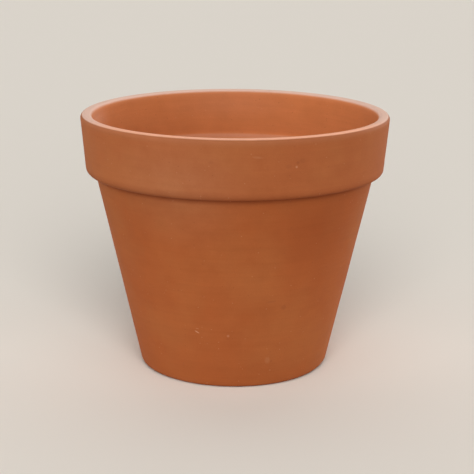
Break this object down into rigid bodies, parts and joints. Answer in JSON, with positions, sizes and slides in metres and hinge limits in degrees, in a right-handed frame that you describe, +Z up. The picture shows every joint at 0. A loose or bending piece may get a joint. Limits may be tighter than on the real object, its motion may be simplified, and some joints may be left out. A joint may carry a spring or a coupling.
{
  "type": "terracotta flower pot",
  "caption": "Round tapered terracotta flower pot with a thick rim band, an inner ledge behind it, a flat foot ring and a central drain hole.",
  "frame": {"origin": "centre of the foot ring's underside, in the plane that the pot stands on", "axes": "+Z up along the pot's axis, out of its mouth; the pot is turned about +Z, so +X and +Y are any two level directions"},
  "size_m": [0.2394, 0.2394, 0.2],
  "materials": {
    "terracotta": "unglazed fired clay, matte, smooth, with faint turning lines and small blotches"
  },
  "bodies": {
    "root": {"pot": "terracotta"}
  },
  "joints": []
}
